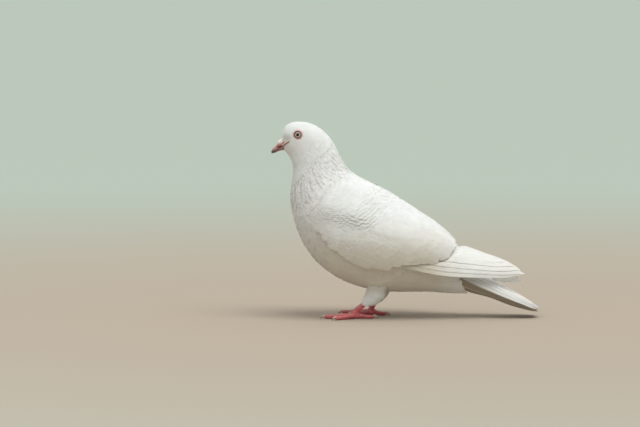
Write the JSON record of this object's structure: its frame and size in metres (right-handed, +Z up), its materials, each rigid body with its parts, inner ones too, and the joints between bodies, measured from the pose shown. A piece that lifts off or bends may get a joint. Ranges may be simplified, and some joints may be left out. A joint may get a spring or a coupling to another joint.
{
  "type": "pigeon",
  "caption": "White domestic pigeon standing at rest with folded wings and closed tail, a life-size still model that stands on its own toes.",
  "frame": {"origin": "centre of the model's footprint box, on the floor under the toes", "axes": "-X is the way the bird faces, -Y is its left side, +Z is up"},
  "size_m": [0.2788, 0.0976, 0.2042],
  "materials": {
    "plumage": "matt white feathers",
    "flight_feathers": "smooth white flight feathers",
    "bare_skin": "scaly pink-red skin",
    "claw_horn": "semi-gloss pale horn",
    "bill_horn": "semi-gloss pink horn, darker to the tip",
    "cere_skin": "powdery white-pink skin",
    "eye_glass": "clear glossy eye with a pale iris"
  },
  "bodies": {
    "root": {"bill_lower": "bill_horn", "bill_upper": "bill_horn", "cere": "cere_skin", "claw_hallux_left": "claw_horn", "claw_hallux_right": "claw_horn", "claw_inner_left": "claw_horn", "claw_inner_right": "claw_horn", "claw_middle_left": "claw_horn", "claw_middle_right": "claw_horn", "claw_outer_left": "claw_horn", "claw_outer_right": "claw_horn", "eye_left": "eye_glass", "eye_right": "eye_glass", "head": "plumage", "leg_left": "plumage", "leg_right": "plumage", "neck": "plumage", "primaries_left": "flight_feathers", "primaries_right": "flight_feathers", "secondaries_left": "plumage", "secondaries_right": "plumage", "shank_left": "bare_skin", "shank_right": "bare_skin", "tail": "flight_feathers", "toe_hallux_left": "bare_skin", "toe_hallux_right": "bare_skin", "toe_inner_left": "bare_skin", "toe_inner_right": "bare_skin", "toe_middle_left": "bare_skin", "toe_middle_right": "bare_skin", "toe_outer_left": "bare_skin", "toe_outer_right": "bare_skin", "trunk": "plumage", "wing_coverts_left": "plumage", "wing_coverts_right": "plumage"}
  },
  "joints": []
}
